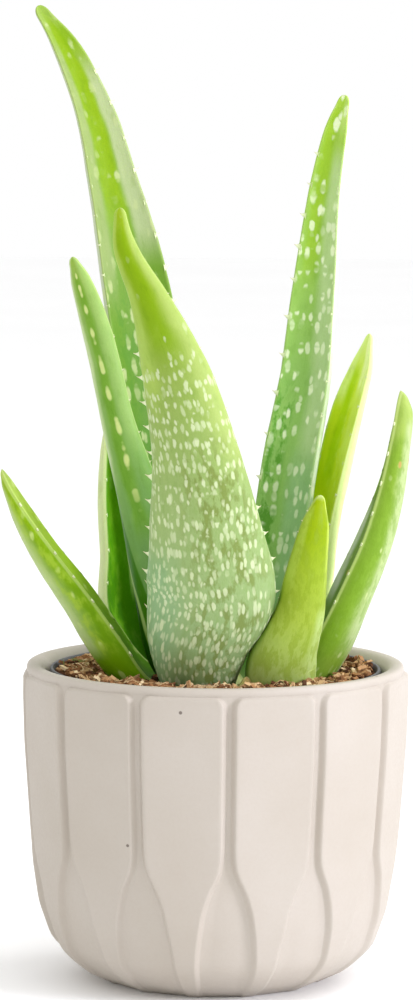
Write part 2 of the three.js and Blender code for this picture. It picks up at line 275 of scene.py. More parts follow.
# (height, depth) of that floor below the panel edges.
RECESS_DEPTHS = [(0, 1.3), (13.4, 1.9), (27, 2.3), (106, 2.3), (PANEL_TOP, 1.7)]
RING_RADIUS = 68.4  # of the smooth band above the panels
# (radius, height) from that band over the rim and down the inside.
POT_INSIDE = [
    (68.4, POT_TOP - 1.3), (68.1, POT_TOP - 0.5), (67.4, POT_TOP - 0.08), (66.4, POT_TOP),
    (65, POT_TOP - 0.1), (63.9, POT_TOP - 0.45), (63, POT_TOP - 1.2), (61.6, POT_TOP - 3),
    (61.2, POT_TOP - 5), (61, 100), (60.8, 80), (60.2, 58), (59, 36), (56, 22), (53, 13),
    (50, 9.6), (46, FLOOR_TOP + 0.2), (40, FLOOR_TOP), (20, FLOOR_TOP),
]
CURVE_REACH = 2.2  # radii and widths are averaged over this height up and down,
RADII_FROM, WIDTHS_FROM = 6, 3  # from these heights on
LEAST_FACE = 0.05  # half of what is left of a panel where the groove takes up its width
BAND_SLOPE = 1.1  # height over which a panel slopes back to the band
FLOOR_POINTS = 5  # points of one row over a groove's floor,
WALL_STEPS, FACE_STEPS = 8, 8  # steps up its wall and over a panel
LOW_ROWS = [0, 0.5, 1.3, 2.6, 4.2, 6.2]  # heights, closer together at the foot,
FIRST_ROW, ROW_PITCH, ROWS = 8.6, 1.9, 53  # and the even ones above them
CORNER_ROWS = 7  # rows round a panel's top corners
# x, z and radius of small dark chips in the glaze.
CHIP_MARKS = [(-12.0, 106.7, 0.8), (-30.3, 58.4, 0.7)]


def curve_value(pairs, at):
    """Like between(), but averaged over three nearby heights."""
    above, below = between(pairs, at + CURVE_REACH), between(pairs, at - CURVE_REACH)
    return (below + 2 * between(pairs, at) + above) / 4


def pot_row(z):
    """One outside row of the pot: points that follow the groove's edges round each panel."""
    step = 2 * pi / PANELS
    edge = curve_value(POT_RADII, z) if RADII_FROM < z < PANEL_TOP - CURVE_REACH else between(POT_RADII, z)
    half = curve_value(RECESS_WIDTHS, z) if z > WIDTHS_FROM else between(RECESS_WIDTHS, z)
    into_corner = max(z - (PANEL_TOP - PANEL_CORNER), 0) / PANEL_CORNER
    half += PANEL_CORNER * (1 - sqrt(max(1 - into_corner**2, 0)))
    depth = between(RECESS_DEPTHS, z)
    rise = 1 - smooth(PANEL_TOP - BAND_SLOPE, PANEL_TOP, z)
    ground = edge - depth
    wall = min(GROOVE_WALL, step / 2 * edge - half - LEAST_FACE)
    lip = (half + wall) / edge
    plane = edge * cos(step / 2 - lip)
    row = []

    def add(angle, height):
        from_panel = min(abs((angle - FIRST_GROOVE) % step - step / 2), step / 2 - lip)
        flat = plane / cos(from_panel)
        face = flat + (edge - flat) * PANEL_CROWN
        row.append((angle, ground + (face - ground) * height * rise))

    def wall_height(share):
        # steep in the middle, with a round lip
        return smooth(0, 1, share) ** 0.8

    for k in range(PANELS):
        groove = FIRST_GROOVE + k * step
        for j in range(FLOOR_POINTS):
            add(groove + half / edge * (2 * j / (FLOOR_POINTS - 1) - 1), 0)
        for j in range(1, WALL_STEPS):
            add(groove + (half + wall * j / WALL_STEPS) / edge, wall_height(j / WALL_STEPS))
        for j in range(FACE_STEPS + 1):
            share = (1 - cos(pi * j / FACE_STEPS)) / 2
            add(groove + lip + (step - 2 * lip) * share, 1)
        for j in range(WALL_STEPS - 1, 0, -1):
            add(groove + step - (half + wall * j / WALL_STEPS) / edge, wall_height(j / WALL_STEPS))
    return [(*around(radius, angle), z) for angle, radius in row], [angle for angle, _ in row]


def ceramic():
    """Matt pale ceramic with a faint mottle, pin holes and a dry, fine tooth."""
    shade = Shade("pale_ceramic", Roughness=0.6, Specular_IOR_Level=0.35)
    place = shade.place()
    broad = shade.noise(place, 22, 4)
    fine = shade.noise(place, 900, 3)
    colour = shade.ramp(broad, [(0.3, (183, 174, 162)), (0.7, (190, 182, 172))])
    colour = shade.mix(shade.step(fine, 0.35, 0.75, 0, 0.12), colour, srgb(180, 167, 153))
    distance, number = shade.cells(place, (70, 70, 70), dimensions="3D")
    rare = shade.step(shade.channels(number)[0], 0.955, 0.96)
    speck = shade.times(rare, shade.step(distance, 0.03, 0.05, 1, 0))
    colour = shade.mix(speck, colour, srgb(150, 132, 118))
    # the chips are marked by x and z alone, so each runs through from front to back
    flat = shade.add("VectorMath", {0: place, 1: (1, 0, 1)}, operation="MULTIPLY").outputs[0]
    for x, z, radius in CHIP_MARKS:
        there = {0: flat, 1: (x * MM, 0, z * MM)}
        distance = shade.add("VectorMath", there, operation="DISTANCE").outputs["Value"]
        mark = shade.step(distance, radius * 0.5 * MM, radius * MM, 0.85, 0)
        colour = shade.mix(mark, colour, srgb(96, 84, 76))
    height = shade.minus(shade.plus(shade.times(fine, 0.35), broad), speck)
    roughness = shade.step(fine, 0.2, 0.8, 0.5, 0.68)
    return shade.finish(colour, roughness, shade.bump(height, 0.00018, 0.5))


def make_cover_pot():
    heights = LOW_ROWS + [FIRST_ROW + ROW_PITCH * k for k in range(ROWS)]
    for k in range(1, CORNER_ROWS + 1):
        heights.append(PANEL_TOP - PANEL_CORNER * (1 - sin(pi / 2 * k / CORNER_ROWS)))
    heights = sorted(set(round(z, 3) for z in heights if z <= PANEL_TOP))
    points = []
    for z in heights:
        row, angles = pot_row(z)
        points += row
    for radius, z in [(RING_RADIUS + 0.1, PANEL_TOP + 0.35), *POT_INSIDE]:
        points += [(*around(radius, angle), z) for angle in angles]
    faces = capped_faces(len(points) // len(angles), len(angles))
    pot = make_piece("cover_pot_ceramic", points, faces, [ceramic()])
    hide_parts("cover_pot")


# -------- nursery pot

DRAIN_HOLES, DRAIN_RADIUS, DRAIN_CIRCLE = 6, 4, 30
CUTTER_DEPTH = 12  # enough to go through the base


def dark_plastic():
    shade = Shade("dark_plastic", Roughness=0.5)
    place = shade.place()
    cloud = shade.noise(place, 60, 4)
    grain = shade.noise(place, 1500, 2)
    colour = shade.ramp(cloud, [(0.3, (52, 54, 57)), (0.75, (84, 86, 88))])
    roughness = shade.step(cloud, 0.3, 0.7, 0.38, 0.6)
    return shade.finish(colour, roughness, shade.bump(grain, 0.0001, 0.4))


def make_nursery_pot():
    foot, top = NURSERY_FOOT, NURSERY_TOP
    profile = [
        (2, foot), (42.5, foot), (44, foot + 1.5), (58.6, top - 7), (59.8, top - 6.6), (60, top - 0.5),
        (59.7, top), (59, top), (58.6, top - 0.8), (57.4, top - 4), (42.7, foot + 2.2), (41.7, foot + 1.5),
        (2, foot + 1.5),
    ]
    points, faces = lathe(rounded(profile, 2, 0.12), 128)
    pot = make_piece("nursery_pot_plastic", points, faces, [dark_plastic()])
    for i in range(DRAIN_HOLES):
        angle = radians(360 / DRAIN_HOLES * i)
        x, y = DRAIN_CIRCLE * MM * cos(angle), DRAIN_CIRCLE * MM * sin(angle)
        bpy.ops.mesh.primitive_cylinder_add(
            vertices=24, radius=DRAIN_RADIUS * MM, depth=CUTTER_DEPTH * MM, location=(x, y, foot * MM),
        )
        cutter = bpy.context.object
        cut = pot.modifiers.new("drain hole", "BOOLEAN")
        cut.object, cut.operation = cutter, "DIFFERENCE"
        bpy.context.view_layer.objects.active = pot
        bpy.ops.object.modifier_apply(modifier=cut.name)
        bpy.data.objects.remove(cutter)
    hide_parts("nursery_pot")


# -------- leaves

# Each leaf's stations from root to tip: x, y, z, half width, thickness, curl, facing.
# x, y, z is the middle of the line between the two edges. Curl is half the angle that the
# channelled upper face turns through, and facing is where that face looks, both in degrees:
# 0 is the front, 90 is +X.
STATIONS = {
    "leaf_tall_left": [
        (-1, 6, 106, 6, 5, 50, 25), (-6, 13, 120, 11, 7, 48, 25), (-14, 22, 160, 12.6, 7, 42, 24),
        (-21.2, 27, 205, 13.6, 6.4, 38, 22), (-30.4, 31, 254, 12.3, 5.6, 34, 20),
        (-37.6, 35, 285, 9.4, 4.6, 30, 20), (-45.6, 39, 314, 7.2, 3.6, 26, 20),
        (-56.1, 42, 337, 4.9, 2.8, 26, 20), (-66.8, 44, 352, 2.2, 1.6, 18, 20),
    ],
    "leaf_tall_right": [
        (9, 5, 105, 6, 5, 50, -20), (16.5, 10, 116, 8.6, 6.5, 46, -20), (21, 17, 148, 9.6, 6.4, 40, -20),
        (26, 24, 184, 9.8, 6, 34, -20), (31.7, 30, 216, 9.2, 5.4, 30, -20),
        (35.3, 34, 252, 7.7, 4.6, 28, -20), (38.7, 37, 284, 5.7, 3.6, 26, -20),
        (42.8, 38.5, 307, 4.2, 2.6, 24, -20), (46.2, 39, 320, 1.8, 1.4, 14, -20),
    ],
    "leaf_front": [
        (3, -7, 102, 6, 5, 50, 172), (-4.4, -17, 110, 10.4, 8, 50, 170), (-5.4, -26, 127, 16.6, 9.5, 46, 168),
        (-1.2, -32, 147, 22, 9.5, 40, 166), (-3.2, -37, 168, 19.4, 8.6, 36, 166),
        (-7.1, -42, 196, 15, 7.4, 34, 166), (-14.3, -46, 225, 11.5, 6, 32, 166),
        (-23.7, -48, 250, 6.4, 4.6, 30, 166), (-32.2, -48, 268, 3.6, 3, 26, 166),
        (-34.3, -47, 280.8, 1.8, 1.5, 14, 166),
    ],
    "leaf_keeled_left": [
        (-2, -3, 106, 6, 4.5, 48, 155), (-11.5, -8, 118, 10.4, 6.4, 48, 155),
        (-18, -11, 144, 10, 6.6, 44, 155), (-25, -12, 172, 7.9, 6, 42, 155),
        (-34.4, -12, 204, 5.5, 5, 40, 155), (-41.7, -12, 234, 4.9, 4.2, 36, 155),
        (-48.4, -11, 254, 3.5, 3, 30, 155), (-52, -10, 262, 1.5, 1.4, 14, 155),
    ],
    "leaf_back_left": [
        (-3, 5, 103, 6, 5, 48, 65), (-20, 10, 112, 10, 4.6, 50, 60), (-32.6, 14, 130, 10, 4, 50, 59),
        (-35.2, 18, 152, 7.6, 3.6, 48, 62), (-37.8, 21, 172, 5.6, 3.2, 46, 68),
        (-38.9, 23, 190, 2.8, 2.8, 40, 70), (-39.4, 25, 204, 0.9, 1, 10, 70),
    ],
    "leaf_right": [
        (12, 9, 103, 5.5, 5, 46, -58), (25.6, 15, 112, 8.6, 6, 46, -58), (32.4, 19.5, 136, 8.8, 5.6, 44, -58),
        (36.1, 22, 160, 8.4, 5, 40, -58), (41.3, 24.5, 183.5, 7.8, 4.6, 36, -56),
        (46.8, 26, 205.5, 7.6, 3.8, 34, -54), (52.3, 27, 221.5, 5, 2.8, 28, -52),
        (55.6, 27.5, 233, 1.4, 1.2, 12, -52),
    ],
    "leaf_low_left": [
        (-6, -4, 105, 6, 5, 44, 88), (-23.1, -8, 112.5, 9.8, 8, 42, 89), (-34, -12, 127, 10.5, 9.4, 38, 91),
        (-44.2, -16, 142, 10, 8.8, 34, 90), (-56.4, -21, 158, 8.2, 7.5, 32, 90),
        (-67, -26, 173.3, 5.7, 5.2, 28, 85), (-73.1, -29, 183, 3.2, 2.9, 22, 80),
        (-75.9, -30, 187.6, 1, 1.2, 12, 78),
    ],
    "leaf_far_right": [
        (13, -2, 103, 6, 5, 45, -86), (26.6, -3, 109, 9.6, 7.5, 44, -86),
        (35.2, -3, 125, 10.9, 10.4, 40, -88),
        (43.3, -2, 142.7, 10.3, 10.6, 36, -85), (51.9, -1, 161.6, 8.8, 9.8, 32, -85),
        (58.5, -1, 180.3, 7.1, 7.9, 30, -90), (62.6, -2, 198, 6.2, 6.2, 28, -92),
        (64.6, -2, 208, 4.6, 5, 24, -96), (65.9, -2, 214.3, 1.6, 2.2, 14, -100),
    ],
    "leaf_short_right": [
        (13, -8, 100, 6, 5, 46, -145), (22.5, -19, 107, 9.6, 7, 48, -150),
        (22.3, -25, 120, 12.2, 7.6, 44, -154), (28.5, -30, 138, 8.3, 6.8, 38, -156),
        (31.5, -34, 155, 6.4, 5.6, 34, -158), (34.4, -36, 170, 4.4, 3.8, 28, -160),
        (36.6, -36.5, 179.8, 1.3, 1.3, 12, -160),
    ],
    "torn_leaf_base": [
        (8, -16, 98, 3, 3, 40, -165), (9.4, -26, 101, 5.4, 3, 36, -165),
        (10.4, -31.5, 107, 4.8, 2.4, 30, -165), (11, -33.5, 114.6, 0.9, 1.2, 10, -165),
    ],
}

# Teeth: for each edge, +1 or -1 across the leaf, the lowest and highest height, the pitch along
# the leaf at these two, and the length.
TEETH = {
    "leaf_tall_left": [(1, 154.4, 335, 12.2, 12.6, 1.7), (-1, 130, 300, 12, 11, 0.6)],
    "leaf_tall_right": [(-1, 146, 300, 17.9, 10.6, 1.9), (1, 150, 290, 14, 11, 0.5)],
    "leaf_front": [
        (1, 116, 236, 8.9, 9.4, 3.9), (-1, 120.9, 178, 9.2, 9.0, 2.2), (-1, 186, 250, 11, 10, 0.8),
    ],
    "leaf_keeled_left": [(1, 120.5, 252, 13.4, 12.4, 1.8), (-1, 130, 250, 12, 11, 0.8)],
    "leaf_back_left": [(1, 118, 196, 13, 12, 1.2), (-1, 118, 196, 13, 12, 0.7)],
    "leaf_right": [(1, 118, 225, 12, 11, 0.7), (-1, 118, 225, 12, 11, 0.7)],
    "leaf_low_left": [(1, 112, 184, 11, 10, 0.7), (-1, 113, 184, 13, 10, 1.6)],
    "leaf_far_right": [(1, 116, 206, 12, 10.5, 1.7), (-1, 112, 205, 12, 10, 0.7)],
    "leaf_short_right": [
        (1, 112, 160, 11, 10, 0.6), (1, 166, 179, 4, 3.4, 0.7), (-1, 112, 176, 11, 10, 0.6),
    ],
    "torn_leaf_base": [],
}

LEAF_RINGS = 170
RING_CROWDING = 1.3  # 1 for evenly spaced rings, more to crowd them at the tip
UPPER_POINTS = [sin(pi / 2 * (k / 8 - 1)) for k in range(17)]
UNDER_POINTS = [-sin(pi / 2 * (k / 11 - 1)) for k in range(23)]
TIP_ROUNDING = 1.5  # length of the rounded tip, in last half widths
EDGE_TUCK = 0.14  # how far both faces draw in at the edge
EDGE_NOSE = 0.25  # how far the edge between them stands out
TOOTH_ROOT = 0.7  # depth of a tooth's root in the flesh
TOOTH_SIDES, TOOTH_STEPS = 6, 5
TOOTH_PLACES = 500  # places along a leaf where a tooth may stand
SEED_SHIFT, FACE_SHIFT = 41, 200  # keep the pattern of each leaf and of each face its own


def spline_point(points, at):
    """A centripetal Catmull-Rom curve through the points; at counts spans from the first."""
    k = min(int(at), len(points) - 2)
    t = at - k
    p1, p2 = points[k], points[k + 1]
    p0 = points[k - 1] if k else p1 * 2 - p2
    p3 = points[k + 2] if k + 2 < len(points) else p2 * 2 - p1
    d0, d1, d2 = (sqrt((b - a).length) for a, b in ((p0, p1), (p1, p2), (p2, p3)))
    rise1 = ((p1 - p0) / d0 - (p2 - p0) / (d0 + d1) + (p2 - p1) / d1) * d1
    rise2 = ((p2 - p1) / d1 - (p3 - p1) / (d1 + d2) + (p3 - p2) / d2) * d1
    return (
        p1 + rise1 * t + (-3 * p1 + 3 * p2 - 2 * rise1 - rise2) * t**2
        + (2 * p1 - 2 * p2 + rise1 + rise2) * t**3
    )


def smooth_value(stations, column, at):
    """One of the stations' values, run through by a smooth curve."""
    last = len(stations) - 1
    k = min(int(at), last - 1)
    t = at - k
    a, b, c, d = (stations[min(max(n, 0), last)][column] for n in (k - 1, k, k + 1, k + 2))
    rise = 0.5 * (c - a) * t + (a - 2.5 * b + 2 * c - 0.5 * d) * t**2
    return b + rise + (1.5 * (b - c) + 0.5 * (d - a)) * t**3


class Station:
    """A place along a leaf: its middle, its width and its upright frame."""

    def __init__(self, stations, share):
        last = len(stations) - 1
        middles = [Vector(s[:3]) for s in stations]
        at = share * last
        self.share = share
        self.middle = spline_point(middles, at)
        ahead = spline_point(middles, min(at + 0.01, last))
        behind = spline_point(middles, max(at - 0.01, 0))
        self.along = (ahead - behind).normalized()
        self.half = max(smooth_value(stations, 3, at), 0.5)
        self.thick = smooth_value(stations, 4, at)
        self.curl = radians(max(smooth_value(stations, 5, at), 5))
        facing = radians(smooth_value(stations, 6, at))
        look = Vector((sin(facing), -cos(facing), 0.5))
        self.up = (look - self.along * look.dot(self.along)).normalized()
        self.side = self.along.cross(self.up).normalized()
        # the blunt tip rounds over
        rounding = TIP_ROUNDING * stations[-1][3]
        to_tip = min((middles[-1] - self.middle).length / rounding, 1)
        narrowing = sqrt(max(1 - (1 - to_tip) ** 2, 0))
        self.half = max(self.half * narrowing, 0.12)
        self.thick = max(self.thick * narrowing, 0.6)

    def on_leaf(self, across, below, out=0):
        """A point of the section: across from -1 to 1, below the upper face, out past the edge."""
        radius = self.half / sin(self.curl)
        turn = self.curl * across
        outward = radius + below
        rise = radius * cos(self.curl) - outward * cos(turn)
        point = self.middle + self.side * (outward * sin(turn)) + self.up * rise
        tangent = self.side * cos(turn) + self.up * sin(turn)
        return point + tangent * out

    def body(self, across):
        """Thickness of the flesh at a place across the leaf."""
        margin = min(MARGIN_THICKNESS, self.thick)
        bulge = sqrt(max(1 - across**2, 0))
        return margin + (self.thick - margin) * bulge


def leaf_section(station):
    """The ring of points of one section, as (point, across, upper)."""

    def tuck(across):
        return EDGE_TUCK if abs(across) > 0.999 else 0

    ring = [(station.on_leaf(a, tuck(a)), a, 1) for a in UPPER_POINTS]
    ring.append((station.on_leaf(1, MARGIN_THICKNESS / 2, EDGE_NOSE), 1, 0.5))
    ring += [(station.on_leaf(a, station.body(a) - tuck(a)), a, 0) for a in UNDER_POINTS]
    ring.append((station.on_leaf(-1, MARGIN_THICKNESS / 2, -EDGE_NOSE), -1, 0.5))
    return ring


def ripple(point, seed):
    """Slight unevenness of living tissue, in millimetres."""
    where = point * 0.045 + Vector((seed, 0, 0))
    return 0.34 * noise.noise(where) + 0.1 * noise.noise(where * 3.7)


def tooth_rings(station, edge, length):
    """A hooked tooth on a leaf's edge: rings that shrink to a point."""
    margin = station.on_leaf(edge, MARGIN_THICKNESS / 2)
    tangent = (margin - station.on_leaf(edge * 0.8, MARGIN_THICKNESS / 2)).normalized()
    out = (tangent * 0.5 + station.side * edge).normalized()
    root = margin - out * TOOTH_ROOT
    rings = []
    for k in range(TOOTH_STEPS + 1):
        t = k / TOOTH_STEPS
        centre = root + out * (t * (length + TOOTH_ROOT)) + station.along * (0.4 * length * t * t)
        wide = (0.6 + 0.7 * length) * (1 - t) ** 1.7 + 0.06
        deep = 0.45 * (1 - t) + 0.05
        rings.append([
            centre + station.along * (wide * cos(a)) + station.up * (deep * sin(a))
            for a in (radians(360 / TOOTH_SIDES * n) for n in range(TOOTH_SIDES))
        ])
    return rings


def arc_places(ring):
    """For each point of a section: its signed distance from the middle of its own face, as
    measured over the skin, and half that face's width."""
    first_under = len(UPPER_POINTS) + 1
    faces_of_ring = (range(len(UPPER_POINTS)), range(first_under, first_under + len(UNDER_POINTS)))
    places = [(0, 0)] * len(ring)
    for face in faces_of_ring:
        lengths = [0]
        for a, b in zip(face, face[1:]):
            lengths.append(lengths[-1] + (ring[b][0] - ring[a][0]).length)
        half = lengths[-1] / 2
        sign = 1 if ring[face[0]][1] < 0 else -1
        for i, length in zip(face, lengths):
            places[i] = (sign * (length - half), half)
    edge = places[len(UPPER_POINTS) - 1][1]
    places[len(UPPER_POINTS)] = (edge, edge)
    places[-1] = (-edge, edge)
    return places


def make_leaf(name, seed, materials):
    stations = STATIONS[name]
    shares = [1 - (1 - k / LEAF_RINGS) ** RING_CROWDING for k in range(LEAF_RINGS + 1)]
    places = [Station(stations, share) for share in shares]
    points, values = [], {"across": [], "along": [], "upper": [], "rim": [], "flesh": []}

    def add(point, across, along, upper, rim, flesh):
        points.append(point)
        for label, value in zip(values, (across, along, upper, rim)):
            values[label].append(value)
        values["flesh"] += flesh

    travelled = 0
    for k, place in enumerate(places):
        if k:
            travelled += (place.middle - places[k - 1].middle).length
        ring = leaf_section(place)
        for (point, _, upper), (arc, half) in zip(ring, arc_places(ring)):
            normal = (point - place.middle + place.up * (place.half * 0.6)).normalized()
            offset = seed * SEED_SHIFT + FACE_SHIFT * upper
            add(point + normal * ripple(point, seed), arc / max(half, 0.01), place.share, upper,
                half - abs(arc), [arc + offset, travelled, 0])
    # each end closes on a point
    count = len(UPPER_POINTS) + len(UNDER_POINTS) + 2
    faces = ring_faces(len(places), count)
    for ring, sign in ((0, -1), (LEAF_RINGS, 1)):
        place = places[ring]
        centre = sum((points[ring * count + j] for j in range(count)), Vector()) / count
        end = centre + place.along * (0.1 * sign)
        add(end, 0, place.share, 0.5, 1, [seed * SEED_SHIFT, travelled, 0])
        for j in range(count):
            a, b = ring * count + j, ring * count + (j + 1) % count
            faces.append((len(points) - 1, b, a) if sign < 0 else (len(points) - 1, a, b))
    slots = [0] * len(faces)

    draw = random.Random(seed)
    fine = [Station(stations, k / TOOTH_PLACES) for k in range(TOOTH_PLACES + 1)]
    for edge, low, high, low_pitch, high_pitch, length in TEETH[name]:
        since = low_pitch
        for before, station in zip(fine, fine[1:]):
            since += (station.middle - before.middle).length
            pitch = between([(low, low_pitch), (high, high_pitch)], station.middle.z)
            if since < pitch or not low <= station.middle.z <= high:
                continue
            since = pitch * draw.uniform(-0.05, 0.05)
            size = length * draw.uniform(0.82, 1.12) * smooth(0.5, 3.5, station.half)
            first = len(points)
            for t, ring in enumerate(tooth_rings(station, edge, size)):
                for point in ring:
                    add(point, edge, station.share, t / TOOTH_STEPS, 0, [0, 0, 0])
            made = ring_faces(TOOTH_STEPS + 1, TOOTH_SIDES)
            made.append(range(TOOTH_STEPS * TOOTH_SIDES, (TOOTH_STEPS + 1) * TOOTH_SIDES))
            made = [tuple(first + i for i in face) for face in made]
            if edge < 0:
                made = [tuple(reversed(face)) for face in made]
            faces += made
            slots += [1] * len(made)

    kinds = {label: "FLOAT_VECTOR" if label == "flesh" else "FLOAT" for label in values}
    leaf = make_piece(name + "_skin", points, faces, materials, slots,
                      attributes={label: (kinds[label], values[label]) for label in values})
    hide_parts(name)
    return leaf


# -------- leaf looks

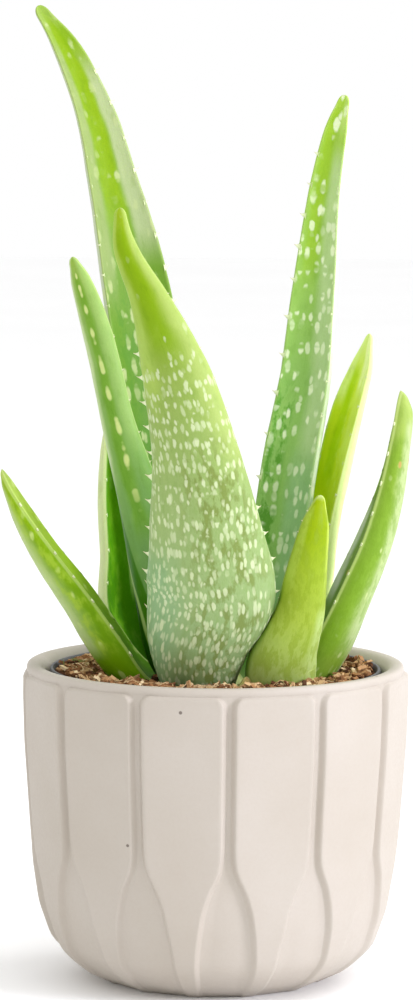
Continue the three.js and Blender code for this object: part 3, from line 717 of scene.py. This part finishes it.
# For each leaf: tone, which lightens or darkens the whole of it; the strength of its pale edge;
# colours at RAMP_PLACES from root to tip of both sides; bands (side, colour, left and right border
# across the leaf, start and end along it, strength, softness, and how far it moves across per
# length); mottles, which are bands broken into patches; flecks (cell width and length in mm, share
# filled at root, middle and tip, size); and the share of cells with a scar.
# Some colours are painted light: pale flank bands add painted sheen to the glaucous bloom, and some dark
# bands and dark root colours are painted shade.
RAMP_PLACES = (0, 0.25, 0.5, 0.78, 1)
LOOKS = {
    "leaf_tall_left": dict(
        slot="leaf_pale", seed=3, tone=0.72, edge=0.2,
        upper=[(60, 120, 20), (105, 160, 60), (130, 176, 60), (158, 194, 62), (165, 198, 80)],
        under=[(90, 140, 50), (112, 160, 64), (124, 170, 76), (136, 180, 80), (150, 188, 76)],
        bands=[
            # pale flank bands, here and on the under side: glaucous bloom with painted sheen
            ("upper", (180, 198, 132), -1.2, -0.5, 0.45, 0.92, 0.75, 0.15),
            ("upper", (204, 218, 166), 0.38, 1.2, 0.5, 0.86, 0.85, 0.15),
            # a yellow-green stripe down the channel, partly painted light shining through the leaf
            ("upper", (150, 190, 0), -0.45, 0.3, 0.55, 0.99, 0.9, 0.15),
            ("upper", (142, 186, 0), 0.1, 0.9, 0.84, 0.96, 0.8, 0.15),
            ("upper", (172, 202, 96), -1.2, -0.35, 0.9, 1.1, 0.7, 0.15),
            ("under", (228, 236, 210), -1.3, -0.7, 0.42, 1.1, 0.9, 0.1),
        ],
        mottles=[("upper", (96, 158, 50), -0.8, 0.6, 0.25, 0.52, 0.6, 0.2)],
        fleck=(214, 228, 160),
        flecks=[(4.4, 10.5, 0.5, 0.6, 0.55, 0.24), (3.2, 7.6, 0.4, 0.25, 0.25, 0.2)],
    ),
    "leaf_tall_right": dict(
        slot="leaf_pale", seed=11, tone=1.06, edge=0.1,
        upper=[(50, 110, 20), (138, 182, 96), (138, 180, 92), (150, 188, 76), (160, 194, 60)],
        under=[(60, 120, 30), (112, 162, 76), (124, 170, 84), (140, 182, 80), (156, 190, 70)],
        bands=[
            # pale right flank: glaucous bloom with painted sheen
            ("upper", (188, 208, 158), 0.2, 1.2, 0.35, 0.86, 0.6, 0.25),
            ("upper", (150, 188, 140), 0, 1.2, 0.15, 0.42, 0.6, 0.2),
            ("upper", (146, 186, 16), -0.75, 0.02, 0.6, 0.98, 0.6, 0.2),
            ("upper", (196, 220, 130), 0.3, 1, 0.84, 1.1, 0.5, 0.2),
            # pale under flank: glaucous bloom with painted sheen
            ("under", (224, 234, 212), 0.62, 1.3, 0.3, 1.1, 0.9, 0.1),
        ],
        mottles=[("upper", (66, 136, 16), -1, -0.3, 0.2, 0.52, 0.8, 0.15)],
        fleck=(228, 236, 200), flecks=[(3.3, 7.4, 0.9, 1.1, 0.7, 0.27), (4.4, 9, 0.2, 0.5, 0.5, 0.25)],
    ),
    "leaf_front": dict(
        slot="leaf_pale", seed=23, tone=0.94, edge=0.15,
        upper=[(110, 150, 70), (125, 168, 90), (135, 178, 90), (150, 188, 70), (165, 190, 50)],
        # the dark first under colour is painted shade at the root
        under=[(84, 120, 60), (156, 182, 126), (154, 178, 110), (140, 168, 40), (154, 180, 24)],
        bands=[
            # pale flank bands: glaucous bloom with painted sheen
            ("under", (178, 198, 112), -1.2, -0.5, 0.5, 1.1, 0.65, 0.2),
            ("under", (172, 200, 92), 0.3, 0.9, 0.6, 1.1, 0.7, 0.15),
            ("under", (130, 168, 0), -0.42, 0.26, 0.66, 0.985, 0.8, 0.2),
            ("under", (140, 178, 130), 0.3, 1.2, 0.1, 0.45, 0.7, 0.2),
            # two dark bands at the root: painted shade
            ("under", (60, 92, 20), -1.3, -0.82, 0.05, 0.36, 0.9, 0.08),
            ("under", (56, 92, 30), 0.72, 1.3, 0.05, 0.22, 0.85, 0.1),
        ],
        mottles=[("under", (112, 128, 48), -0.8, 0.1, 0.1, 0.6, 0.7, 0.25)],
        fleck=(210, 222, 176), flecks=[(2.1, 4.8, 1.8, 1.1, 0.08, 0.29), (2.8, 6.4, 1.1, 0.7, 0.15, 0.25)],
    ),
    "leaf_keeled_left": dict(
        slot="leaf_pale", seed=31, tone=0.86, edge=0.4,
        upper=[(90, 145, 50), (105, 162, 62), (120, 172, 70), (138, 182, 74), (158, 192, 70)],
        # the dark root end of the under colours is painted shade
        under=[(20, 70, 0), (80, 138, 40), (132, 174, 90), (152, 186, 94), (156, 188, 76)],
        bands=[
            # pale flank bands: glaucous bloom with painted sheen
            ("under", (172, 205, 120), -1.2, -0.45, 0.5, 1.1, 0.6, 0.2),
            ("under", (205, 222, 168), 0.35, 1.2, 0.46, 1.1, 0.85, 0.12),
            ("under", (130, 172, 104), -0.6, 0.3, 0.2, 0.5, 0.6, 0.2),
            ("under", (112, 166, 20), -0.3, 0.1, 0.36, 0.92, 0.7, 0.12),
            # the dark slanting bands, first and third below, are painted shade on the flank turned from the
            # light
            ("under", (62, 122, 8), -0.74, 3, 0, 0.47, 0.95, 0.04, 3),
            ("under", (186, 212, 130), -0.28, -0.16, 0.16, 0.42, 0.8, 0.03, 2.6),
            ("under", (22, 84, 0), -0.14, 3, 0, 0.34, 0.9, 0.03, 2.6),
        ],
        mottles=[], fleck=(222, 234, 150), flecks=[], keel_flecks=True,
    ),
    "leaf_back_left": dict(
        slot="leaf_dark", seed=41, tone=1, edge=0.3,
        # the dark upper colours towards the root are painted shade
        upper=[(14, 60, 0), (60, 118, 0), (84, 152, 0), (98, 160, 8), (170, 198, 110)],
        under=[(60, 120, 10), (84, 140, 20), (106, 156, 36), (124, 168, 50), (160, 190, 90)],
        bands=[
            ("upper", (190, 224, 130), 0.84, 1.2, 0.36, 0.76, 0.8, 0.06),
            ("upper", (196, 214, 140), -1.2, 0.1, 0.8, 1, 0.7, 0.15),
            ("under", (204, 214, 160), -1.3, -0.25, 0, 1.1, 0.95, 0.12),
        ],
        mottles=[("upper", (112, 172, 10), -0.8, 0.4, 0.25, 0.7, 0.5, 0.2)],
        fleck=(190, 215, 130), flecks=[(4, 8, 0.02, 0.03, 0.05, 0.25)],
    ),
    "leaf_right": dict(
        slot="leaf_yellow", seed=53, tone=1.15, edge=0.35,
        # the bright yellow of the upper face is partly painted light shining through the thin leaf
        upper=[(160, 194, 0), (172, 204, 0), (182, 208, 0), (188, 210, 40), (200, 218, 130)],
        under=[(130, 170, 20), (146, 184, 30), (158, 194, 40), (168, 200, 60), (186, 208, 110)],
        bands=[
            ("upper", (156, 194, 0), -0.6, -0.12, 0.5, 0.88, 0.75, 0.12),
            ("upper", (200, 220, 96), 0.1, 0.9, 0.56, 0.8, 0.6, 0.15),
            ("upper", (222, 232, 165), 0.1, 1.2, 0.74, 1.1, 0.8, 0.15),
            ("upper", (200, 220, 140), -1.2, -0.6, 0.7, 1.1, 0.6, 0.15),
            # pale under flank: glaucous bloom with painted sheen
            ("under", (214, 228, 160), 0.36, 1.3, 0.1, 1.1, 0.85, 0.15),
        ],
        mottles=[("upper", (190, 214, 80), -0.2, 1, 0.5, 0.9, 0.5, 0.2)],
        fleck=(215, 228, 160), flecks=[(4, 8, 0, 0.03, 0.15, 0.25)],
    ),
    "leaf_low_left": dict(
        slot="leaf_yellow", seed=61, tone=0.95, edge=0.4,
        # the dark upper colours towards the root are painted shade
        upper=[(36, 80, 0), (92, 146, 6), (150, 188, 30), (176, 204, 80), (164, 184, 96)],
        under=[(112, 160, 10), (112, 160, 4), (118, 160, 0), (134, 170, 10), (158, 180, 60)],
        # its one band is painted sheen over the middle of the under side
        bands=[("under", (196, 210, 152), -0.6, 0.4, 0.26, 0.9, 0.65, 0.25)],
        mottles=[("under", (158, 190, 50), -0.95, -0.55, 0.25, 0.85, 0.7, 0.15)],
        fleck=(200, 218, 130), flecks=[(4, 8, 0.25, 0.4, 0.35, 0.22)],
    ),
    "leaf_far_right": dict(
        slot="leaf_yellow", seed=71, tone=0.9, edge=0.55,
        upper=[(96, 140, 40), (112, 148, 60), (128, 158, 80), (124, 160, 40), (150, 180, 60)],
        under=[(110, 150, 40), (136, 168, 60), (150, 180, 80), (160, 186, 84), (158, 182, 88)],
        bands=[
            # a near-white band on the under side: painted sheen
            ("under", (214, 224, 190), -0.4, 0.2, 0.12, 0.8, 0.6, 0.14),
            ("under", (194, 210, 154), 0.2, 0.56, 0.22, 0.86, 0.75, 0.14),
            ("under", (120, 164, 14), 0.62, 0.96, 0.2, 0.78, 0.6, 0.12),
            ("under", (186, 206, 120), -0.2, 0.5, 0.8, 1.1, 0.3, 0.15),
            # a near-white band on the upper face: painted sheen
            ("upper", (230, 236, 220), -1.2, -0.75, 0.32, 0.6, 0.7, 0.1),
        ],
        mottles=[("under", (112, 152, 30), 0.2, 0.9, 0.15, 0.8, 0.55, 0.2)],
        fleck=(206, 220, 150), flecks=[(2.6, 6, 0.3, 0.3, 0.1, 0.22)], scars=0.05,
    ),
    "leaf_short_right": dict(
        slot="leaf_yellow", seed=83, tone=0.92, edge=0.4,
        upper=[(140, 176, 40), (150, 184, 40), (158, 188, 40), (158, 186, 40), (150, 176, 40)],
        under=[(150, 180, 90), (176, 198, 118), (162, 184, 66), (144, 170, 6), (144, 166, 0)],
        bands=[
            ("under", (190, 212, 130), -1.2, -0.3, 0.1, 0.56, 0.8, 0.15),
            ("under", (200, 222, 92), -1.2, -0.5, 0.58, 1.1, 0.85, 0.1),
            ("under", (178, 202, 84), 0.5, 0.9, 0.58, 0.95, 0.6, 0.1),
            ("under", (70, 120, 0), 0.8, 1.3, 0.15, 0.62, 0.8, 0.08),
            ("under", (224, 232, 190), -0.6, 0.8, 0.965, 1.1, 0.6, 0.1),
        ],
        mottles=[("under", (132, 158, 24), -0.9, 0.8, 0.2, 0.95, 0.6, 0.2)],
        fleck=(206, 222, 150), flecks=[(3, 5, 0.1, 0.12, 0.1, 0.16)],
    ),
    "torn_leaf_base": dict(
        slot="leaf_pale", seed=97, tone=1, edge=0.4,
        upper=[(150, 180, 90)] * 3 + [(176, 190, 110), (150, 110, 70)],
        under=[(150, 185, 80)] * 3 + [(180, 205, 110), (170, 130, 84)],
        bands=[
            ("under", (196, 212, 130), 0.2, 1.2, 0, 0.9, 0.5, 0.2),
            ("under", (150, 112, 70), -1.2, -0.5, 0.3, 1.1, 0.7, 0.2),
        ],
        mottles=[], fleck=(214, 228, 160), flecks=[],
    ),
}

EDGE_COLOUR = srgb(206, 224, 140)
# Places along the keeled leaf, and across it, where the row of long flecks on its keel runs.
KEEL_LINE = [(0.36, -0.2), (0.475, -0.19), (0.56, -0.24), (0.64, -0.13), (0.72, -0.07), (0.9, -0.1)]
KEEL_FLECKS = 19  # flecks over the leaf's whole length
KEEL_NARROWNESS = 10  # the higher, the narrower each of them


def leaf_skin(name):
    """Waxy aloe skin: colour along the leaf, bands (painted sheen and painted shade among them), mottles,
    flecks and a pale edge.
    """
    look = LOOKS[name]
    shade = Shade(name + "_skin", Specular_IOR_Level=0.1, Subsurface_Weight=0.1, Subsurface_Scale=0.003)
    shade.shader.inputs["Subsurface Radius"].default_value = (0.6, 1, 0.2)
    across = shade.attribute("across")
    along = shade.attribute("along")
    upper = shade.attribute("upper")
    flesh = shade.attribute("flesh", "Vector")
    ramps = [shade.ramp(along, list(zip(RAMP_PLACES, look[side]))) for side in ("under", "upper")]
    colour = shade.mix(shade.step(upper, 0.3, 0.7), *ramps)

    cloud = shade.noise(flesh, (0.12, 0.05, 1))
    patches = shade.noise(flesh, (0.3, 0.13, 1), 4, 0.6)
    streaks = shade.noise(flesh, (1.2, 0.06, 1), 4, 0.6)
    grain = shade.noise(flesh, (2.6, 1.2, 1), 4)
    wandered = shade.plus(across, shade.times(shade.minus(cloud, 0.5), 0.35))
    broken = shade.step(patches, 0.44, 0.6)
    # the bands and mottles; some bands are painted sheen on pale flanks and painted shade near the roots
    for band in [*look["bands"], *look["mottles"]]:
        side, tint, left, right, start, end, strength, soft = band[:8]
        where = across if soft < 0.05 else wandered
        if len(band) > 8:
            where = shade.minus(where, shade.times(along, band[8]))
        ease = min(0.07, (end - start) * 0.4)
        on_side = (0.4, 0.6) if side == "upper" else (0.6, 0.4)
        share = shade.times(
            shade.step(where, left - soft, left + soft, 0, strength),
            shade.step(where, right - soft, right + soft, 1, 0),
            shade.step(along, start, start + ease),
            shade.step(along, end - ease, end, 1, 0),
            shade.step(upper, *on_side),
        )
        if band in look["mottles"]:
            share = shade.times(share, broken)
        colour = shade.mix(share, colour, srgb(*tint))
    lighter = shade.mix(1, colour, (0.07, 0.07, 0.03, 1), "ADD")
    colour = shade.mix(shade.step(patches, 0.5, 0.75, 0, 0.5), colour, lighter)
    darker = shade.mix(1, colour, (0.78, 0.84, 0.66, 1), "MULTIPLY")
    colour = shade.mix(shade.step(patches, 0.48, 0.3, 0, 0.6), colour, darker)
    colour = shade.mix(shade.step(streaks, 0.46, 0.25, 0, 0.4), colour, darker)
    colour = shade.mix(shade.step(grain, 0.62, 0.3, 0, 0.25), colour, darker)

    mask = flecks(shade, look, flesh, along, across)
    colour = shade.mix(mask, colour, srgb(*look["fleck"]))

    if look.get("scars"):
        distance, number = shade.cells(flesh, (0.16, 0.09, 1))
        rare = shade.step(shade.channels(number)[0], look["scars"], look["scars"] + 0.01, 1, 0)
        scar = shade.times(rare, shade.step(distance, 0.08, 0.14, 1, 0))
        colour = shade.mix(scar, colour, srgb(190, 164, 90))

    edge = shade.step(shade.attribute("rim"), 0.2, 0.9, look["edge"], 0)
    colour = shade.mix(edge, colour, EDGE_COLOUR)
    root = shade.step(along, 0, 0.1, 0.5, 0)
    colour = shade.mix(root, colour, srgb(190, 200, 140))
    tone = look["tone"]
    colour = shade.mix(1, colour, (tone, tone, tone, 1), "MULTIPLY")

    height = shade.plus(shade.times(streaks, 0.3), shade.times(mask, 0.35))
    height = shade.plus(height, shade.times(grain, 0.4))
    roughness = shade.step(grain, 0.3, 0.7, 0.38, 0.52)
    return shade.finish(colour, roughness, shade.bump(height, 0.0002, 0.5))


def flecks(shade, look, flesh, along, across):
    """Pale oval flecks, gathered in loose rows across the leaf."""
    rows = shade.noise(flesh, (0.03, 0.14, 1), 2)
    gathered = shade.step(rows, 0.38, 0.6, 0.4, 1.15)
    shift = shade.add("TexNoise", {"Vector": flesh, "Scale": 0.35, "Detail": 2}).outputs[1]
    inputs = {0: shift, 1: (1.2, 2.2, 0), 2: flesh}
    bent = shade.add("VectorMath", inputs, operation="MULTIPLY_ADD").outputs[0]
    mask = 0
    for wide, long, root, middle, tip, size in look["flecks"]:
        share = shade.step(along, 0.15, 0.45, root, middle)
        share = shade.plus(share, shade.step(along, 0.6, 0.76, 0, tip - middle))
        share = shade.times(share, gathered)
        distance, number = shade.cells(bent, (1 / wide, 1 / long, 1), 0.7)
        draws = shade.channels(number)
        there = shade.step(shade.minus(share, draws[0]), -0.05, 0.3)
        reach = shade.step(draws[1], 0, 1, size * 0.75, size * 1.2)
        spot = shade.step(shade.minus(reach, distance), -0.07, 0.1)
        spot = shade.times(spot, there, shade.step(draws[2], 0, 1, 0.5, 0.85))
        mask = shade.math("MAXIMUM", mask, spot)
    if look.get("keel_flecks"):
        # a row of long flecks down the keel of the under side
        line = across
        for (t0, a0), (t1, a1) in zip(KEEL_LINE, KEEL_LINE[1:]):
            line = shade.minus(line, shade.step(along, t0, t1, 0, a1 - a0))
        off = shade.times(shade.minus(line, KEEL_LINE[0][1]), KEEL_NARROWNESS)
        paced = shade.plus(shade.times(along, KEEL_FLECKS), shade.times(rows, 1.5))
        beyond = shade.times(shade.minus(shade.math("FRACT", paced), 0.5), 3.4)
        away = shade.plus(shade.times(off, off), shade.times(beyond, beyond))
        keel = shade.step(away, 0.2, 1.4, 0.9, 0)
        keel = shade.times(keel, shade.step(along, 0.4, 0.5), shade.step(along, 0.88, 0.92, 1, 0))
        mask = shade.math("MAXIMUM", mask, keel)
    return mask


def tooth_skin():
    """Horny teeth, pale green at the root and tan at the point."""
    shade = Shade("tooth", Roughness=0.42)
    rise = shade.attribute("upper")
    colour = shade.ramp(rise, [(0, (208, 224, 160)), (0.55, (232, 240, 200)), (1, (222, 206, 164))])
    grain = shade.noise(shade.place(), 1400, 2)
    colour = shade.mix(shade.step(grain, 0.4, 0.8, 0, 0.25), colour, srgb(196, 208, 140))
    return shade.finish(colour)


# -------- stem

STEM_RADIUS, STEM_FOOT_RADIUS = 12, 8
STEM_SEGMENTS, STEM_ROWS = 64, 70
BUD = 16  # height over which the top closes
SHEATH_PITCH = 7.5  # height from one sheath's lap to the next
SHEATHS_ROUND = 2  # laps in one turn


def stem_skin():
    shade = Shade("stem_sheaths", Roughness=0.55, Subsurface_Weight=0.1, Subsurface_Scale=0.003)
    place = shade.place()
    cloud = shade.noise(place, 120, 4)
    fibres = shade.noise(place, (900, 900, 60))
    colour = shade.ramp(cloud, [(0.3, (148, 168, 84)), (0.7, (196, 204, 140))])
    colour = shade.mix(shade.step(fibres, 0.45, 0.75, 0, 0.4), colour, srgb(150, 128, 86))
    return shade.finish(colour, None, shade.bump(fibres, 0.0003, 0.5))


def make_stem():
    """The short stem: sheaths of old leaves wound round it, closing to a bud on top."""
    points = []
    for i in range(STEM_ROWS + 1):
        z = STEM_FOOT + (STEM_TOP - STEM_FOOT) * i / STEM_ROWS
        to_top = STEM_TOP - z
        radius = min(STEM_RADIUS, STEM_FOOT_RADIUS + (z - STEM_FOOT) * 0.6)
        if to_top <= BUD:
            radius = STEM_RADIUS * (to_top / BUD) ** 0.55
        for j in range(STEM_SEGMENTS):
            turn = j / STEM_SEGMENTS
            lap = (z / SHEATH_PITCH + turn * SHEATHS_ROUND) % 1
            x, y = around(max(radius * (0.9 + 0.1 * lap**0.5), 0.05), 2 * pi * turn)
            points.append((STEM_X + x, y, z))
    faces = capped_faces(STEM_ROWS + 1, STEM_SEGMENTS)
    stem = make_piece("stem_sheathed", points, faces, [stem_skin()])
    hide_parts("stem")


# -------- soil

SOIL_RADIUS = 58.2
DISH_RADIUS = 24
HEAP_FROM, HEAP_TO = 42, 55  # the soil rises towards the wall between these radii
BED_SEGMENTS = 120
BED_DEPTH = 1.2  # of the bed's top below the level of the chips
BED_SHARES = (1, 0.95, 0.88, 0.8, 0.7, 0.58, 0.45, 0.32, 0.2)  # of SOIL_RADIUS, for its rings
CHIPS = 3000
FIBRES = 420
FIBRE_STEPS, FIBRE_SIDES = 6, (0, 2.1, 4.2)  # steps along one, and the angles round it
TUFT_X, TUFT_Y = -50.8, 7.8
TUFT_BLADES = 60
DARKEST, PALEST = 0.05, 0.93  # the range of the bits' tints; at 1 is the moss


def soil_height(x, y):
    from_stem = hypot(x - STEM_X, y)
    dish = SOIL_DISH * exp(-((from_stem / DISH_RADIUS) ** 4))
    rough = 0.7 * sin(0.61 * x + 1.3 * sin(0.43 * y)) + 0.6 * sin(0.83 * y + 0.57 * x)
    heaped = SOIL_HEAP * smooth(HEAP_FROM, HEAP_TO, hypot(x, y))
    return SOIL_LEVEL - dish + rough + heaped


def soil_skin():
    """Bark and coir: each bit has its own brown, with darker grain."""
    shade = Shade("potting_mix", Roughness=0.95, Specular_IOR_Level=0.2)
    tint = shade.attribute("tint")
    place = shade.place()
    grain = shade.noise(place, (900, 900, 900), 4)
    colour = shade.ramp(tint, [
        (0, (32, 20, 12)), (0.3, (100, 64, 40)), (0.55, (162, 116, 76)),
        (0.8, (208, 174, 128)), (0.93, (236, 212, 170)), (0.97, (140, 160, 96)),
    ])
    colour = shade.mix(shade.step(grain, 0.45, 0.8, 0, 0.45), colour, srgb(60, 36, 22))
    return shade.finish(colour, None, shade.bump(grain, 0.0006, 0.7))


def make_soil(leaves):
    draw = random.Random(7)
    trees = [BVHTree.FromPolygons(
        [v.co / MM for v in leaf.data.vertices], [tuple(p.vertices) for p in leaf.data.polygons]
    ) for leaf in leaves]

    def near_leaf(point, gap):
        return any(tree.find_nearest(point, gap)[0] is not None for tree in trees)

    points, faces, tints = [], [], []
    # the bed: rings from the wall's foot up, over the top and in to the middle
    bed = [(43, NURSERY_FOOT + 2.2), (50, 50)] + [(SOIL_RADIUS * share, None) for share in BED_SHARES]
    for radius, z in bed:
        for j in range(BED_SEGMENTS):
            x, y = around(radius, 2 * pi * j / BED_SEGMENTS)
            rough = noise.noise(Vector((x, y, 0)) * 0.35) * 0.9
            points.append((x, y, z if z is not None else soil_height(x, y) - BED_DEPTH + rough))
            tints.append(0.1 + 0.2 * draw.random())
    faces += capped_faces(len(bed), BED_SEGMENTS)

    def spot(reach):
        """A random place that keeps this far from the wall."""
        radius = (SOIL_RADIUS - reach) * sqrt(draw.random())
        return around(radius, 2 * pi * draw.random())

    def tint(middle, spread, darkest):
        return min(max(draw.gauss(middle, spread), darkest), PALEST)

    def add(bit, bit_faces, value):
        faces.extend(tuple(len(points) + i for i in face) for face in bit_faces)
        points.extend(bit)
        tints.extend([value] * len(bit))

    corners = [(sx, sy, sz) for sz in (-1, 1) for sx, sy in ((-1, -1), (1, -1), (1, 1), (-1, 1))]
    sides = [(3, 2, 1, 0), (4, 5, 6, 7), (0, 1, 5, 4), (1, 2, 6, 5), (2, 3, 7, 6), (3, 0, 4, 7)]
    for n in range(CHIPS):
        long, wide, thick = draw.uniform(1.2, 3.4), draw.uniform(0.6, 1.5), draw.uniform(0.3, 0.8)
        x, y = spot(long)
        z = soil_height(x, y) - 0.6 + 1.6 * draw.random() * (n / CHIPS)
        centre = Vector((x, y, z))
        if near_leaf(centre, long * 0.8):
            continue
        turn = Matrix.Rotation(draw.uniform(0, 2 * pi), 3, "Z")
        turn = turn @ Matrix.Rotation(draw.gauss(0, 0.5), 3, "X")
        turn = turn @ Matrix.Rotation(draw.gauss(0, 0.35), 3, "Y")
        chip = []
        for sx, sy, sz in corners:
            taper, cut, wear = draw.uniform(0.45, 1), draw.uniform(0.7, 1), draw.uniform(0.6, 1)
            corner = Vector((sx * long * cut, sy * wide * taper, sz * thick * wear))
            chip.append(tuple(centre + turn @ corner))
        add(chip, sides, tint(0.54 + 0.2 * (n / CHIPS - 0.5), 0.22, DARKEST))

    for _ in range(FIBRES):
        length = draw.uniform(4, 12)
        x, y = spot(length / 2 + 1)
        heading = draw.uniform(0, 2 * pi)
        bend = draw.gauss(0, 0.12)
        centre = Vector((x, y, soil_height(x, y)))
        if near_leaf(centre, length * 0.55):
            continue
        thick = draw.uniform(0.12, 0.28)
        lift = draw.uniform(0.3, 1.4)
        fibre = []
        x -= cos(heading) * length / 2
        y -= sin(heading) * length / 2
        for k in range(FIBRE_STEPS + 1):
            z = soil_height(x, y) + 0.4 + lift * sin(pi * k / FIBRE_STEPS)
            for a in FIBRE_SIDES:
                aside = thick * cos(a)
                fibre.append((x - sin(heading) * aside, y + cos(heading) * aside, z + thick * sin(a)))
            x += cos(heading) * length / FIBRE_STEPS
            y += sin(heading) * length / FIBRE_STEPS
            heading += bend
        add(fibre, ring_faces(FIBRE_STEPS + 1, len(FIBRE_SIDES)), tint(0.74, 0.15, 0.2))

    # a small tuft of moss by the left wall
    for _ in range(TUFT_BLADES):
        x, y = TUFT_X + draw.gauss(0, 1.6), TUFT_Y + draw.gauss(0, 1.6)
        lean_x, lean_y, tall = draw.gauss(0, 0.9), draw.gauss(0, 0.9), draw.uniform(1.2, 2.6)
        ground = soil_height(x, y) - 0.5
        blade = [(x - 0.3, y, ground), (x + 0.3, y, ground), (x, y + 0.4, ground)]
        blade.append((x + lean_x, y + lean_y, ground + tall + 0.5))
        add(blade, [(0, 2, 1), (0, 1, 3), (1, 2, 3), (2, 0, 3)], 1)

    soil = make_piece("potting_mix_bed", points, faces, [soil_skin()], smooth_shading=False,
                      attributes={"tint": ("FLOAT", tints)})
    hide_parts("soil")


# -------- stage, light and camera

FLOOR_SIZE = 12  # metres
LIT_POINT = Vector((0, 0, 0.17))  # metres


def make_stage():
    bpy.ops.mesh.primitive_plane_add(size=FLOOR_SIZE)
    floor = bpy.context.object
    floor.name = "floor"
    shade = Shade("floor", Roughness=0.7)
    cloud = shade.noise(shade.place(), 3, 2)
    colour = shade.ramp(cloud, [(0.3, (252, 252, 252)), (0.7, (254, 254, 254))])
    floor.data.materials.append(shade.finish(colour))


def add_light(name, place, power, size, colour):
    """A square light at a place in metres, of a power in watts, turned to the plant."""
    data = bpy.data.lights.new(name, "AREA")
    data.energy, data.size, data.color = power, size, colour
    light = bpy.data.objects.new(name, data)
    bpy.context.collection.objects.link(light)
    light.location = place
    light.rotation_euler = (LIT_POINT - Vector(place)).to_track_quat("-Z", "Y").to_euler()


def make_light():
    world = bpy.data.worlds.new("studio")
    bpy.context.scene.world = world
    world.use_nodes = True
    background = world.node_tree.nodes["Background"]
    background.inputs["Color"].default_value = (1, 1, 1, 1)
    background.inputs["Strength"].default_value = 1
    add_light("key", (1.8, -0.85, 0.75), 25, 0.5, (0.97, 0.97, 1.1))
    add_light("top", (0.3, -0.3, 1.9), 7, 0.9, (1, 1, 1))
    add_light("back", (1.2, 0.9, 1.3), 7, 0.8, (1, 1, 1))
    bpy.context.scene.view_settings.view_transform = "Standard"


def make_camera():
    pitch, yaw, roll = (radians(a) for a in (CAMERA_PITCH, CAMERA_YAW, CAMERA_ROLL))
    forward = Vector((sin(yaw) * cos(pitch), cos(yaw) * cos(pitch), sin(pitch)))
    level = forward.cross(Vector((0, 0, 1))).normalized()
    upright = level.cross(forward)
    right = level * cos(roll) + upright * sin(roll)
    up = upright * cos(roll) - level * sin(roll)
    data = bpy.data.cameras.new("camera")
    data.sensor_width = 36
    data.lens = data.sensor_width * FOCAL_PIXELS / PHOTO_HEIGHT
    data.clip_end = 50
    camera = bpy.data.objects.new("camera", data)
    bpy.context.collection.objects.link(camera)
    turn = Matrix((right, up, -forward)).transposed().to_4x4()
    camera.matrix_world = Matrix.Translation(CAMERA_PLACE * MM) @ turn
    bpy.context.scene.camera = camera


# -------- the scene

make_camera()
make_cover_pot()
make_nursery_pot()
teeth = tooth_skin()
leaves = []
for name, look in LOOKS.items():
    leaves.append(make_leaf(name, look["seed"], [leaf_skin(name), teeth]))
make_stem()
make_soil(leaves)
make_stage()
make_light()
